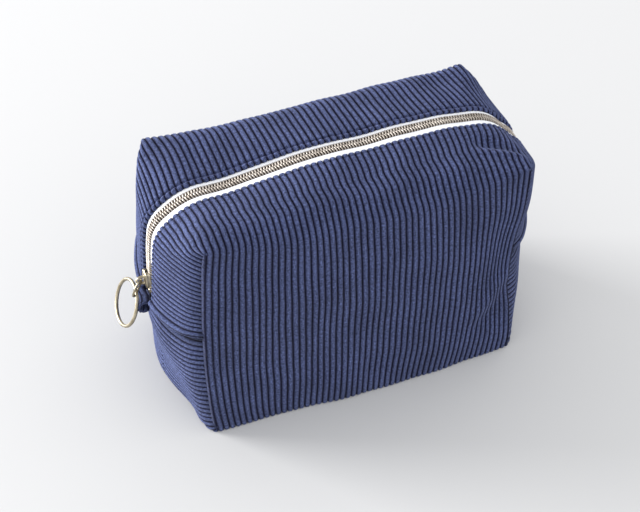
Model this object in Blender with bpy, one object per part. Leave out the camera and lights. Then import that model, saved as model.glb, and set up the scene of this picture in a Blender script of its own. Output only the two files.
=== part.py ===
"""A zippered corduroy pouch with boxed corners, modelled piece by piece.

The frame is in metres with +Z up. X runs along the zip, the front panel faces -Y, the slider's end
faces -X, and the origin is the middle of the base. The shape is a tapered box whose ends bulge and
whose top domes. Every fabric piece is a slice of the wall between two insets of that shape, so the
layers nest: outer fabric, zip tape, lining, seam binding.
"""
import math

import bmesh
import bpy
from mathutils import Matrix, Vector

MM = 0.001

# The body, outside, in millimetres.
TOP_LENGTH = 184.0
BASE_LENGTH = 174.0
TOP_WIDTH = 92.0
BASE_WIDTH = 98.0
HEIGHT = 132.0
END_BULGE = 16.5
END_BULGE_AT_TOP = 13.0
TOP_DOME = 8.5
DOME_LEAN = 3.0
FACE_BULGE = 5.0
CORNER_BOW = 4.0
SEAM_HEIGHT = 64.0

# Where the filled pouch sags or swells out of its plain shape: centre, spread and shift.
SLUMPS = (
    ((-70.0, 0.0, 136.0), (34.0, 26.0, 40.0), (0.0, 0.0, -9.0)),
    ((-20.0, 0.0, 138.0), (40.0, 24.0, 30.0), (0.0, 0.0, -3.0)),
    ((0.0, 46.0, 134.0), (120.0, 14.0, 14.0), (0.0, 0.5, 2.0)),
    ((-92.0, 44.0, 126.0), (12.0, 12.0, 14.0), (-3.0, 1.0, 1.0)),
    ((93.0, -46.0, 70.0), (20.0, 24.0, 44.0), (-7.0, 0.0, 0.0)),
    ((20.0, -49.0, 0.0), (75.0, 14.0, 24.0), (0.0, -3.6, 0.0)),
    ((-100.0, -24.0, 0.0), (14.0, 18.0, 24.0), (4.0, 0.0, 0.0)),
)

# Edge radii.
CORNER_RADIUS = 3.0
END_FOLD_RADIUS = 22.0
FRONT_FOLD_RADIUS = 11.0

# The wall's layers, as depths below the outer surface.
GAP = 0.3
LIP_PIVOT_CLEARANCE = 0.2
OUTER_LAYER = (0.0, 1.6)
COIL_LAYER = (0.6, 2.2)
TAPE_LAYER = (2.6, 3.1)
LINING_LAYER = (3.4, 4.0)
BINDING_LAYER = (4.4, 9.6)

# The zip, as distances from its centre line.
FABRIC_EDGE = 6.2
LINING_EDGE = 8.0
TAPE_INNER = 0.4
TAPE_OUTER = 14.0
COIL_INNER = 0.15
COIL_OUTER = 3.0
STITCH_OFFSET = 8.8
STITCH_RADIUS = 0.3
COIL_START = 76.1
STOP_LOW = 69.6
STOP_HIGH = 72.4

# The slider, at rest at the closed end of the zip.
SLIDER_LOW = 73.5
SLIDER_LENGTH = 11.0
SLIDER_WIDTH = 9.4
PLATE = 1.0
CHANNEL_HALF_WIDTH = 3.6
SLOT_DEPTHS = (2.2, 3.7)
WEDGE_LENGTH = 2.2
BRIDGE_LOW = 1.5
BRIDGE_HIGH = 7.5
BRIDGE_WIDTH = 1.2
BRIDGE_WALL = 1.2
BRIDGE_CROWN = 1.1
BRIDGE_FOOT = 0.6
BRIDGE_HOLE_HEIGHT = 3.6
PIVOT_RISE = 4.5

# The link and the ring.
LINK_WIRE = 1.2
LINK_HALF_LENGTH = 5.4
LINK_HALF_WIDTH = 3.6
LINK_LEAN = 20.0
LINK_TWIST = 45.0
EYE_CLEARANCE = 1.6
RING_OUTER = 27.5
RING_WIRE = 2.0
RING_LEAN = 22.0
RING_OFF_CENTRE = 20.0

# The folded tabs in the end seams.
TAB_WIDTH = 15.5
TAB_REACH = 5.6
TAB_HEIGHT = 6.8
TAB_FABRIC = 1.9

# The bound seam allowances inside the ends and the corners.
END_BINDING_HALF_WIDTH = 38.0
END_BINDING_DROPS = (2.2, 0.4)
END_BINDING_FROM = 60.0
CORNER_BINDING_SETBACK = 7.0
CORNER_BINDING_REACH = 6.0
CORNER_BINDING_HALF = 0.8
CORNER_BINDING_HEIGHTS = {"lower": (8.0, 61.0), "upper": (65.0, 112.0)}

COLOURS = {
    "corduroy": ((0.075, 0.105, 0.245), 0.9, 0.0),
    "lining": ((0.72, 0.70, 0.66), 0.85, 0.0),
    "tape": ((0.82, 0.81, 0.77), 0.85, 0.0),
    "coil": ((0.50, 0.46, 0.41), 0.4, 0.6),
    "antique_brass": ((0.60, 0.53, 0.38), 0.35, 1.0),
    "thread": ((0.10, 0.14, 0.30), 0.7, 0.0),
}


def clear_scene():
    for item in list(bpy.data.objects):
        bpy.data.objects.remove(item)


def make_material(name, colour_key):
    colour, roughness, metallic = COLOURS[colour_key]
    material = bpy.data.materials.new(name)
    material.use_nodes = True
    shader = material.node_tree.nodes["Principled BSDF"]
    shader.inputs["Base Color"].default_value = (*colour, 1.0)
    shader.inputs["Roughness"].default_value = roughness
    shader.inputs["Metallic"].default_value = metallic
    return material


def mesh_object(name, vertices, faces):
    """A mesh object from points in millimetres, with its faces pointing outwards."""
    mesh = bpy.data.meshes.new(name)
    mesh.from_pydata([Vector(point) * MM for point in vertices], [], faces)
    shape = bmesh.new()
    shape.from_mesh(mesh)
    bmesh.ops.remove_doubles(shape, verts=shape.verts, dist=1e-7)
    bmesh.ops.recalc_face_normals(shape, faces=shape.faces)
    shape.to_mesh(mesh)
    shape.free()
    item = bpy.data.objects.new(name, mesh)
    bpy.context.scene.collection.objects.link(item)
    return item


def make_cutter(item):
    item.hide_render = True
    item.display_type = "WIRE"
    return item


def box(name, low, high):
    """A plain box between two corners in millimetres."""
    corners = [(x, y, z) for x in (low[0], high[0]) for y in (low[1], high[1]) for z in (low[2], high[2])]
    faces = [(0, 1, 3, 2), (4, 6, 7, 5), (0, 4, 5, 1), (2, 3, 7, 6), (0, 2, 6, 4), (1, 5, 7, 3)]
    return mesh_object(name, corners, faces)


def smoothstep(low, high, value):
    t = min(max((value - low) / (high - low), 0.0), 1.0)
    return t * t * (3.0 - 2.0 * t)


# ---- The body's shape ----

def half_length(w):
    """Half the body's length at the corner seams; w runs from -1 at the base to 1 at the top."""
    straight = 0.25 * ((1.0 - w) * BASE_LENGTH + (1.0 + w) * TOP_LENGTH)
    return straight + CORNER_BOW * (1.0 - w * w)


def half_width(w):
    return 0.25 * ((1.0 - w) * BASE_WIDTH + (1.0 + w) * TOP_WIDTH)


def edge_radius(u, v, w):
    """The rounding of the nearest edge: wide where the top folds over the ends and the front."""
    top = smoothstep(-0.1, 0.6, w)
    end_share = u ** 4 / (u ** 4 + v ** 4 + 1e-9)
    end_fold = END_FOLD_RADIUS * (1.0 - abs(v) ** 2.5)
    front_fold = FRONT_FOLD_RADIUS * (1.0 - u ** 4)
    return CORNER_RADIUS + top * (end_share * end_fold + (1.0 - end_share) * front_fold)


def body_point(u, v, w, inset=0.0):
    """Where a point of the cube's surface lies on the body, in millimetres, at a depth of inset."""
    half = (half_length(w) - inset, half_width(w) - inset, 0.5 * HEIGHT - inset)
    radius = max(edge_radius(u, v, w) - inset, 0.4)
    flat = [share * size for share, size in zip((u, v, w), half)]
    core = [min(max(p, radius - size), size - radius) for p, size in zip(flat, half)]
    out = Vector([p - c for p, c in zip(flat, core)])
    if out.length > 1e-9:
        out = out.normalized() * radius
    x, y, z = Vector(core) + out
    z += 0.5 * HEIGHT
    end_bulge = END_BULGE + (END_BULGE_AT_TOP - END_BULGE) * smoothstep(0.0, 1.0, w)
    x += math.copysign(end_bulge * (1.0 - v * v) * abs(u) ** 3, u)
    y += math.copysign(FACE_BULGE * (1.0 - u * u) * (1.0 - 0.7 * w * w) * abs(v) ** 3, v)
    rise = (0.5 + 0.5 * w) ** 3
    z += rise * (1.0 - 0.85 * v * v) * (TOP_DOME * (1.0 - u ** 6) - DOME_LEAN * u)
    return slumped(Vector((x, y, z)))


def slumped(point):
    shift = Vector()
    for centre, reach, push in SLUMPS:
        share = [(p - c) / r for p, c, r in zip(point, centre, reach)]
        shift += Vector(push) * math.exp(-sum(s * s for s in share))
    return tuple(point + shift)


def spread(count, pull):
    """Steps from -1 to 1, drawn towards both ends by pull so that the edges get more of them."""
    steps = [2.0 * i / count - 1.0 for i in range(count + 1)]
    return [(1.0 - pull) * t + pull * math.sin(0.5 * math.pi * t) for t in steps]


# Across the body, closer together beside the zip and at the folds.
WIDTH_STEPS = (-1.0, -0.92, -0.75, -0.45, -0.15, 0.0, 0.15, 0.45, 0.75, 0.92, 1.0)


def body(name, inset):
    """A closed solid of the body at a depth of inset, as six grids joined at their edges."""
    steps = {0: spread(16, 0.75), 1: WIDTH_STEPS, 2: spread(10, 0.75)}
    vertices = []
    faces = []
    for fixed in range(3):
        first, second = [axis for axis in range(3) if axis != fixed]
        for side in (-1.0, 1.0):
            start = len(vertices)
            for a in steps[first]:
                for b in steps[second]:
                    cube = [0.0, 0.0, 0.0]
                    cube[fixed], cube[first], cube[second] = side, a, b
                    vertices.append(body_point(*cube, inset))
            rows = len(steps[second])
            for i in range(len(steps[first]) - 1):
                for j in range(rows - 1):
                    corner = start + i * rows + j
                    faces.append((corner, corner + rows, corner + rows + 1, corner + 1))
    item = mesh_object(name, vertices, faces)
    triangulate(item)
    return make_cutter(item)


def triangulate(item):
    shape = bmesh.new()
    shape.from_mesh(item.data)
    bmesh.ops.triangulate(shape, faces=shape.faces)
    shape.to_mesh(item.data)
    shape.free()


def combine(target, other, operation):
    """Apply one exact boolean to target."""
    modifier = target.modifiers.new("combine", "BOOLEAN")
    modifier.operation = operation
    modifier.solver = "EXACT"
    modifier.object = other
    graph = bpy.context.evaluated_depsgraph_get()
    graph.update()
    result = bpy.data.meshes.new_from_object(target.evaluated_get(graph), depsgraph=graph)
    target.modifiers.clear()
    target.data = result
    return target


def finish(item, name, slot):
    """Name a finished piece, weld its slivers away and give it its material."""
    shape = bmesh.new()
    shape.from_mesh(item.data)
    bmesh.ops.dissolve_degenerate(shape, dist=2e-5, edges=shape.edges)
    bmesh.ops.triangulate(shape, faces=shape.faces)
    bmesh.ops.recalc_face_normals(shape, faces=shape.faces)
    shape.to_mesh(item.data)
    shape.free()
    item.name = name
    item.data.name = name
    item.hide_render = False
    item.display_type = "TEXTURED"
    item.data.materials.clear()
    item.data.materials.append(make_material(name, slot))
    return item


def move_origin(item, point):
    """Put a piece's origin on its joint's axis without moving its mesh."""
    offset = Vector(point) * MM
    item.data.transform(Matrix.Translation(-offset))
    item.location = offset
    return item


BODIES = {}


def wall_slice(name, slot, layer, low, high, cuts=()):
    """The part of the wall between two depths that lies inside a box, less some other boxes."""
    for depth in layer:
        if depth not in BODIES:
            BODIES[depth] = body(f"body_{depth}", depth)
    piece = BODIES[layer[0]].copy()
    piece.data = BODIES[layer[0]].data.copy()
    bpy.context.scene.collection.objects.link(piece)
    keep = box("keep", low, high)
    combine(piece, BODIES[layer[1]], "DIFFERENCE")
    combine(piece, keep, "INTERSECT")
    bpy.data.objects.remove(keep)
    for cut_low, cut_high in cuts:
        cutter = box("cut", cut_low, cut_high)
        combine(piece, cutter, "DIFFERENCE")
        bpy.data.objects.remove(cutter)
    return finish(piece, name, slot)


FAR = 200.0
HALF_GAP = 0.5 * GAP


def side_range(side, near, far):
    """The low and high y of a band on one side of the zip; side is -1 for the front."""
    return (-far, -near) if side < 0 else (near, far)


# ---- The fabric pieces ----

def make_panels(side, label):
    for kind, layer, edge in (("outer", OUTER_LAYER, FABRIC_EDGE), ("lining", LINING_LAYER, LINING_EDGE)):
        slot = "corduroy" if kind == "outer" else "lining"
        low_y, high_y = side_range(side, HALF_GAP, FAR)
        wall_slice(f"{kind}_{label}_lower", slot, layer,
                   (-FAR, low_y, -FAR), (FAR, high_y, SEAM_HEIGHT - HALF_GAP))
        low_y, high_y = side_range(side, edge, FAR)
        piece = wall_slice(f"{kind}_{label}_upper", slot, layer,
                           (-FAR, low_y, SEAM_HEIGHT + HALF_GAP), (FAR, high_y, FAR))
        move_origin(piece, lip_pivot(side))


def lip_pivot(side):
    """The line that a lip turns about: just outside the panel at the height of the end seams."""
    w = 2.0 * SEAM_HEIGHT / HEIGHT - 1.0
    return (0.0, body_point(0.0, side, w)[1] + side * LIP_PIVOT_CLEARANCE, SEAM_HEIGHT)


def make_zip_side(side, label):
    low_y, high_y = side_range(side, TAPE_INNER, TAPE_OUTER)
    tape = wall_slice(f"zip_tape_{label}", "tape", TAPE_LAYER,
                      (-FAR, low_y, SEAM_HEIGHT + HALF_GAP), (FAR, high_y, FAR))
    low_y, high_y = side_range(side, COIL_INNER, COIL_OUTER)
    coil = wall_slice(f"zip_coil_{label}", "coil", COIL_LAYER,
                      (-FAR, low_y, COIL_START), (FAR, high_y, FAR))
    for piece in (tape, coil):
        move_origin(piece, lip_pivot(side))


def zip_path(y, depth):
    """Points along the zip at a distance y from its middle, from the left end seam to the right."""
    low_w = 2.0 * (SEAM_HEIGHT + 4.0) / HEIGHT - 1.0
    rise = [low_w + (1.0 - low_w) * i / 12.0 for i in range(12)]
    along = spread(26, 0.75)
    cube = [(-1.0, w) for w in rise] + [(u, 1.0) for u in along] + [(1.0, w) for w in reversed(rise)]
    return [body_point(u, y / half_width(w), w, depth) for u, w in cube]


def tube(name, points, radius, sides):
    """A round tube along a line of points that stays close to an XZ plane."""
    vertices = []
    faces = []
    across = Vector((0.0, 1.0, 0.0))
    for index, point in enumerate(points):
        ahead = Vector(points[min(index + 1, len(points) - 1)])
        behind = Vector(points[max(index - 1, 0)])
        up = (ahead - behind).normalized().cross(across).normalized()
        for step in range(sides):
            angle = 2.0 * math.pi * step / sides
            vertices.append(Vector(point) + radius * (math.cos(angle) * across + math.sin(angle) * up))
    for ring in range(len(points) - 1):
        for step in range(sides):
            here = ring * sides + step
            beside = ring * sides + (step + 1) % sides
            faces.append((here, beside, beside + sides, here + sides))
    faces.append(tuple(range(sides)))
    faces.append(tuple(range(len(vertices) - sides, len(vertices))))
    return mesh_object(name, vertices, faces)


def make_topstitch(side, label):
    depth = -(STITCH_RADIUS + GAP)
    thread = tube("thread", zip_path(side * STITCH_OFFSET, depth), STITCH_RADIUS, 5)
    move_origin(finish(thread, f"topstitch_{label}", "thread"), lip_pivot(side))


def end_surface(sign, height):
    """The x of the outer surface at the zip's middle, on the end given by sign."""
    return body_point(sign, 0.0, 2.0 * height / HEIGHT - 1.0)[0]


def make_stops():
    for side, label in ((-1, "front"), (1, "back")):
        low_y, high_y = side_range(side, GAP, COIL_OUTER)
        wall_slice(f"top_stop_{label}", "antique_brass", COIL_LAYER,
                   (-FAR, low_y, STOP_LOW), (0.0, high_y, STOP_HIGH))
    wall_slice("bottom_stop", "antique_brass", COIL_LAYER,
               (0.0, -COIL_OUTER, STOP_LOW), (FAR, COIL_OUTER, STOP_HIGH))


def make_tab(sign, label):
    """A strip of fabric folded in half into a loop, lying across the end seam."""
    root_x = end_surface(sign, SEAM_HEIGHT) + sign * GAP
    outer = TAB_HEIGHT * 0.5
    inner = outer - TAB_FABRIC
    profile_outer = []
    profile_inner = []
    for step in range(17):
        angle = math.pi * (step / 16.0 - 0.5)
        reach = TAB_REACH - outer
        profile_outer.append((reach + outer * math.cos(angle), outer * math.sin(angle)))
        profile_inner.append((reach + inner * math.cos(angle), inner * math.sin(angle)))
    profile_outer = [(0.0, -outer)] + profile_outer + [(0.0, outer)]
    profile_inner = [(TAB_FABRIC, -inner)] + profile_inner + [(TAB_FABRIC, inner)]
    count = len(profile_outer)
    vertices = []
    for y in (-0.5 * TAB_WIDTH, 0.5 * TAB_WIDTH):
        for profile in (profile_outer, profile_inner):
            vertices += [(root_x + sign * x, y, SEAM_HEIGHT + z) for x, z in profile]
    faces = []
    for i in range(count):
        j = (i + 1) % count
        near_out, near_in, far_out, far_in = 0, count, 2 * count, 3 * count
        faces.append((near_out + i, near_out + j, near_in + j, near_in + i))
        faces.append((far_out + i, far_in + i, far_in + j, far_out + j))
        faces.append((near_out + i, far_out + i, far_out + j, near_out + j))
        faces.append((near_in + i, near_in + j, far_in + j, far_in + i))
    finish(mesh_object("tab", vertices, faces), f"tab_{label}", "corduroy")


def make_end_binding(sign, label):
    """The bound seam allowance that runs across the inside of an end, under the split."""
    low_x, high_x = (-FAR, -END_BINDING_FROM) if sign < 0 else (END_BINDING_FROM, FAR)
    low_z, high_z = [SEAM_HEIGHT - drop for drop in END_BINDING_DROPS]
    half = END_BINDING_HALF_WIDTH
    wall_slice(f"end_seam_binding_{label}", "tape", BINDING_LAYER,
               (low_x, -half, low_z), (high_x, half, high_z))


def make_corner_binding(sign_x, sign_y, label, part):
    """A bound seam allowance that stands into the corner, split where the lip turns."""
    half = CORNER_BINDING_HALF
    inward = Vector((-sign_x, -sign_y, 0.0)).normalized()
    along = Vector((-inward.y, inward.x, 0.0))
    vertices = []
    for z in CORNER_BINDING_HEIGHTS[part]:
        w = 2.0 * z / HEIGHT - 1.0
        corner = Vector(slumped(Vector((sign_x * half_length(w), sign_y * half_width(w), z))))
        corner -= CORNER_BINDING_SETBACK * Vector((sign_x, sign_y, 0.0))
        corner.z = z
        for reach, offset in ((0, -half), (0, half), (CORNER_BINDING_REACH, half),
                              (CORNER_BINDING_REACH, -half)):
            vertices.append(corner + inward * reach + along * offset)
    faces = [(0, 1, 2, 3), (4, 7, 6, 5), (0, 4, 5, 1), (1, 5, 6, 2), (2, 6, 7, 3), (3, 7, 4, 0)]
    piece = finish(mesh_object("binding", vertices, faces), f"corner_binding_{label}_{part}", "tape")
    if part == "upper":
        move_origin(piece, lip_pivot(sign_y))


# ---- The slider, its link and its ring ----

def make_slider():
    """Two plates with side flanges, joined by the wedge that parts the coils."""
    face = end_surface(-1, SLIDER_LOW + 0.5 * SLIDER_LENGTH)
    top = face + COIL_LAYER[0] - GAP - PLATE
    bottom = face + SLOT_DEPTHS[1] + PLATE
    high_z = SLIDER_LOW + SLIDER_LENGTH
    half = 0.5 * SLIDER_WIDTH
    slider = box("slider", (top, -half, SLIDER_LOW), (bottom, half, high_z))
    channel = box("channel", (top + PLATE, -CHANNEL_HALF_WIDTH, SLIDER_LOW - 1.0),
                  (face + SLOT_DEPTHS[1], CHANNEL_HALF_WIDTH, high_z + 1.0))
    slot = box("slot", (face + SLOT_DEPTHS[0], -SLIDER_WIDTH, SLIDER_LOW - 1.0),
               (face + SLOT_DEPTHS[1], SLIDER_WIDTH, high_z + 1.0))
    combine(slider, channel, "DIFFERENCE")
    combine(slider, slot, "DIFFERENCE")
    wedge = box("wedge", (top + 0.5 * PLATE, -TAPE_INNER + 0.05, SLIDER_LOW),
                (bottom - 0.5 * PLATE, TAPE_INNER - 0.05, SLIDER_LOW + WEDGE_LENGTH))
    combine(slider, wedge, "UNION")
    for cutter in (channel, slot, wedge):
        bpy.data.objects.remove(cutter)
    move_origin(finish(slider, "slider_body", "antique_brass"), (face, 0.0, SLIDER_LOW))
    return top


def make_bridge(top):
    """The arch that the link hangs in, standing on the slider's face."""
    outer_reach = BRIDGE_HOLE_HEIGHT + BRIDGE_CROWN
    low_z, high_z = SLIDER_LOW + BRIDGE_LOW, SLIDER_LOW + BRIDGE_HIGH
    half = 0.5 * BRIDGE_WIDTH
    bridge = box("bridge", (top - GAP - outer_reach, -half, low_z), (top - GAP, half, high_z))
    hole = box("hole", (top - GAP - BRIDGE_HOLE_HEIGHT, -SLIDER_WIDTH, low_z + BRIDGE_WALL),
               (top - GAP - BRIDGE_FOOT, SLIDER_WIDTH, high_z - BRIDGE_WALL))
    combine(bridge, hole, "DIFFERENCE")
    bpy.data.objects.remove(hole)
    finish(bridge, "slider_bridge", "antique_brass")


def loop_mesh(name, centre, long_axis, short_axis, half_long, half_short, wire, segments, sides):
    """A closed wire loop: an ellipse-like ring with a round section."""
    normal = long_axis.cross(short_axis).normalized()
    vertices = []
    faces = []
    for i in range(segments):
        angle = 2.0 * math.pi * i / segments
        c, s = math.cos(angle), math.sin(angle)
        spot = centre + long_axis * half_long * c + short_axis * half_short * s
        out = (long_axis * c * half_short + short_axis * s * half_long).normalized()
        for j in range(sides):
            turn = 2.0 * math.pi * j / sides
            vertices.append(spot + 0.5 * wire * (math.cos(turn) * out + math.sin(turn) * normal))
    for i in range(segments):
        k = (i + 1) % segments
        for j in range(sides):
            m = (j + 1) % sides
            faces.append((i * sides + j, k * sides + j, k * sides + m, i * sides + m))
    return mesh_object(name, vertices, faces)


def lean(angle):
    """A direction in the XZ plane, turned outwards from straight down by an angle in degrees."""
    return Vector((-math.sin(math.radians(angle)), 0.0, -math.cos(math.radians(angle))))


def make_pull(top):
    hole_middle = 0.5 * (BRIDGE_HOLE_HEIGHT + BRIDGE_FOOT)
    pivot = Vector((top - GAP - hole_middle, 0.0, SLIDER_LOW + PIVOT_RISE))
    down = lean(LINK_LEAN)
    across = Matrix.Rotation(math.radians(LINK_TWIST), 3, down) @ Vector((0.0, 1.0, 0.0))
    link = loop_mesh("link", pivot + down * LINK_HALF_LENGTH, down, across,
                     LINK_HALF_LENGTH, LINK_HALF_WIDTH, LINK_WIRE, 20, 8)
    move_origin(finish(link, "pull_link", "antique_brass"), pivot)
    eye = pivot + down * (2.0 * LINK_HALF_LENGTH - 0.5 * (LINK_WIRE + RING_WIRE) - EYE_CLEARANCE)
    ring_radius = 0.5 * (RING_OUTER - RING_WIRE)
    off = math.radians(RING_OFF_CENTRE)
    fall = lean(RING_LEAN)
    side = Vector((0.0, 1.0, 0.0))
    centre = eye + ring_radius * (math.cos(off) * fall + math.sin(off) * side)
    ring = loop_mesh("ring", centre, fall, side, ring_radius, ring_radius, RING_WIRE, 36, 8)
    move_origin(finish(ring, "pull_ring", "antique_brass"), eye)


def main():
    clear_scene()
    for side, label in ((-1, "front"), (1, "back")):
        make_panels(side, label)
        make_zip_side(side, label)
        make_topstitch(side, label)
    make_stops()
    for sign, label in ((-1, "left"), (1, "right")):
        make_tab(sign, label)
        make_end_binding(sign, label)
        for side, side_label in ((-1, "front"), (1, "back")):
            for part in ("lower", "upper"):
                make_corner_binding(sign, side, f"{label}_{side_label}", part)
    top = make_slider()
    make_bridge(top)
    make_pull(top)


main()
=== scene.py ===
"""A zippered corduroy pouch: the looks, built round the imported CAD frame.

Lengths are in millimetres until a mesh is made. X runs along the zip, the front panel faces -Y and the
slider rests at the -X end. The cloth is worked out on its own flat grid, wale by wale.
"""
import functools
import math

import bpy
import numpy as np
from mathutils import Matrix, Vector


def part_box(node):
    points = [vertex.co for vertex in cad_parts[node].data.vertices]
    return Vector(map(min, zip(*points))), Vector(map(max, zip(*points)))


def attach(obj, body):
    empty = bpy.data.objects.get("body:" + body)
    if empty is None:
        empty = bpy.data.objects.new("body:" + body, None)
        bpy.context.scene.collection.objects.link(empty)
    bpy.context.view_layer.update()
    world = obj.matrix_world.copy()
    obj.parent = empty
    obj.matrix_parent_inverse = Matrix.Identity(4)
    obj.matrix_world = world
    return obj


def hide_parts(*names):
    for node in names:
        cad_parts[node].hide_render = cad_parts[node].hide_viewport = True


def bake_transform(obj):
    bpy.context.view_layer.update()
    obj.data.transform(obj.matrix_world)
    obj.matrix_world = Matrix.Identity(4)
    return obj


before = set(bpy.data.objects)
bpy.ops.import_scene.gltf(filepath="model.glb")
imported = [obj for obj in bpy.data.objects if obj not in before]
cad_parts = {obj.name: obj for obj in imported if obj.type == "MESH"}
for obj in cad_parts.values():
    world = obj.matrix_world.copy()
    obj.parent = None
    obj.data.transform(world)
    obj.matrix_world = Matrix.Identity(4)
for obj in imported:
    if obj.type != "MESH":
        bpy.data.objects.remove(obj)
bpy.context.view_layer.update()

MM = 0.001

# The body, as in the CAD.
TOP_LENGTH = 184.0
BASE_LENGTH = 174.0
TOP_WIDTH = 92.0
BASE_WIDTH = 98.0
HEIGHT = 132.0
END_BULGE = 16.5
END_BULGE_AT_TOP = 13.0
TOP_DOME = 8.5
DOME_LEAN = 3.0
FACE_BULGE = 5.0
CORNER_BOW = 4.0
CORNER_RADIUS = 1.4
END_FOLD_RADIUS = 22.0
FRONT_FOLD_RADIUS = 11.0

# The end seam's height, at the zip and at the corner seams.
SEAM_AT_ZIP = 63.0
SEAM_AT_CORNER = 71.0

# The corduroy: wales are counted from the middle of the zip.
WALE = 3.55
RIB_HEIGHT = 1.2
WALES_TO_CORNER = 26.3
WALE_SPREAD = 0.035
WALES_TO_END_SEAM = 49
WALES_TO_BASE_SEAM = 48
RIB_STEPS = (0.0, 0.07, 0.15, 0.3, 0.5, 0.7, 0.85, 0.93)

# The zip.
EDGE = {-1: 7.8, 1: 5.5}
PINCH = {-1: 0.35, 1: 1.0}
STITCH_INSET = 2.7
STITCH_LENGTH = 2.9
STITCH_GAP = 0.7
COIL_PITCH = 1.62
COIL_WIRE = 0.42
TAPE_OUTER = 13.6
TAPE_THICKNESS = 0.45
COIL_FROM_Z = 73.5
LINING_EDGE = 8.0
LINING_INSET = 3.5
LINING_THICKNESS = 0.5
# A coil tooth's wire, from its heel past the middle line to its outer bend: (across, depth).
TOOTH = ((-0.5, 1.9), (-0.48, 1.45), (-0.15, 1.0), (0.6, 0.82), (1.5, 0.75), (2.3, 0.88), (2.85, 1.2),
         (3.05, 1.7), (2.9, 2.1))
TOOTH_SLANT = 0.4

# The seams. The cloth above the end seam bulges over it, and the cloth below sinks towards it:
# the lip's height, where it peaks, how deep the cloth sinks at the seam and how fast that fades.
UPPER_DIP = (2.6, 3.0, 6.2, 0.9)
LOWER_DIP = (0.2, 9.0, 5.4, 5.5)
# How deep the cloth sinks towards the corner seams, broadly and sharply, and how far each reaches.
CORNER_SINK = (3.0, 5.2, 1.2, 0.8)
# How deep the lining sinks towards the end seam and the corner seams, and how far each reaches.
LINING_SINK = (4.5, 8.0, 2.6, 7.0)
TUCK_DEPTH = 2.6
# The turned-in seam allowances are darkened to this share with painted shade.
TUCK_SHADE = 0.3
END_BINDING_DEPTHS = (7.4, 12.0)
CORNER_BINDING_DEPTH = 7.0

# The slider, cut back this much at its foot and head from the CAD's, with its link and its ring.
SLIDER_TRIM = (1.0, 1.2)
SLIDER_HALF_WIDTH = 4.4
SLIDER_TAPER = 1.3
SLIDER_WALL = 0.75
LINK_SIZE = (5.4, 3.6, 1.2)
LINK_LEAN = 20.0
LINK_TWIST = 45.0
RING_SIZE = (12.75, 12.75, 2.0)
RING_LEAN = 22.0

# Colours. The corduroy darkens from its rib tops down their flanks into the grooves, and the tape is darkest
# between the zip's teeth: both are painted shade.
RIB_COLOUR = (0.066, 0.084, 0.176)
RIB_FLANK_SHADE = (0.050, 0.063, 0.138)
GROOVE_EDGE_SHADE = (0.016, 0.018, 0.046)
GROOVE_SHADE = (0.005, 0.005, 0.017)
TAPE_COLOUR = (0.86, 0.87, 0.90)
TAPE_SHADE_UNDER_TEETH = (0.07, 0.05, 0.04)
LINING_COLOUR = (0.74, 0.72, 0.68)
BINDING_COLOUR = (0.80, 0.79, 0.76)
THREAD_COLOUR = (0.045, 0.05, 0.125)
COIL_COLOURS = (0.50, 0.45, 0.40), (0.30, 0.26, 0.22)
BRASS_COLOURS = (0.44, 0.39, 0.29), (0.26, 0.22, 0.15)

# The camera's place and the ways its right and up point.
CAMERA_PLACE = (-0.28883, -0.65568, 0.75666)
CAMERA_RIGHT = (0.92686, -0.37495, 0.01847)
CAMERA_UP = (0.24995, 0.65309, 0.71484)
CAMERA_LENS = 101.25

# The stage: its colours, and the key light's place, size and power.
FLOOR_COLOUR = (0.62, 0.618, 0.615)
SKY_COLOUR = (0.97, 0.98, 1.0)
SKY_STRENGTH = 1.2
KEY_PLACE = (-2.3, 1.7, 0.42)
KEY_SIZE = 1.4
KEY_POWER = 190.0

# Where the filled pouch sags or swells, as in the CAD: centre, spread and shift.
SLUMPS = (
    ((-70.0, 0.0, 136.0), (34.0, 26.0, 40.0), (0.0, 0.0, -9.0)),
    ((-20.0, 0.0, 138.0), (40.0, 24.0, 30.0), (0.0, 0.0, -3.0)),
    ((0.0, 46.0, 134.0), (120.0, 14.0, 14.0), (0.0, 0.5, 2.0)),
    ((-92.0, 44.0, 126.0), (12.0, 12.0, 14.0), (-3.0, 1.0, 1.0)),
    ((93.0, -46.0, 70.0), (20.0, 24.0, 44.0), (-7.0, 0.0, 0.0)),
    ((20.0, -49.0, 0.0), (75.0, 14.0, 24.0), (0.0, -3.6, 0.0)),
    ((-100.0, -24.0, 0.0), (14.0, 18.0, 24.0), (4.0, 0.0, 0.0)),
)
# Soft dimples in the cloth: where, how wide along each axis, and how far it moves.
DIMPLES = (
    ((-90.0, 36.0, 124.0), (10.0, 7.0, 12.0), (1.6, -1.0, -1.8)),
    ((-74.0, 24.0, 136.0), (5.0, 14.0, 12.0), (0.0, 0.0, -1.5)),
    ((-48.0, 30.0, 138.0), (7.0, 12.0, 12.0), (0.0, 0.0, -1.0)),
    ((70.0, 34.0, 134.0), (10.0, 9.0, 12.0), (0.0, 0.0, -1.6)),
    ((0.0, -30.0, 134.0), (26.0, 12.0, 12.0), (0.0, 0.0, -1.2)),
    ((-55.0, -50.0, 60.0), (14.0, 12.0, 40.0), (0.0, 1.2, 0.0)),
    ((30.0, -52.0, 40.0), (18.0, 12.0, 30.0), (0.0, -1.0, 0.0)),
    ((-104.0, -28.0, 95.0), (12.0, 10.0, 14.0), (1.0, 0.0, 0.0)),
    ((104.0, -20.0, 90.0), (12.0, 12.0, 20.0), (-1.2, 0.0, 0.0)),
    ((98.0, 12.0, 40.0), (12.0, 18.0, 14.0), (-2.0, 0.0, 0.0)),
    ((100.0, -42.0, 58.0), (18.0, 34.0, 34.0), (-3.2, 0.0, 0.0)),
    ((-88.0, -50.0, 0.0), (24.0, 16.0, 46.0), (-4.0, -1.5, 0.0)),
    ((-106.0, 4.0, 24.0), (16.0, 34.0, 20.0), (3.0, 0.0, 0.0)),
)
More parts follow.
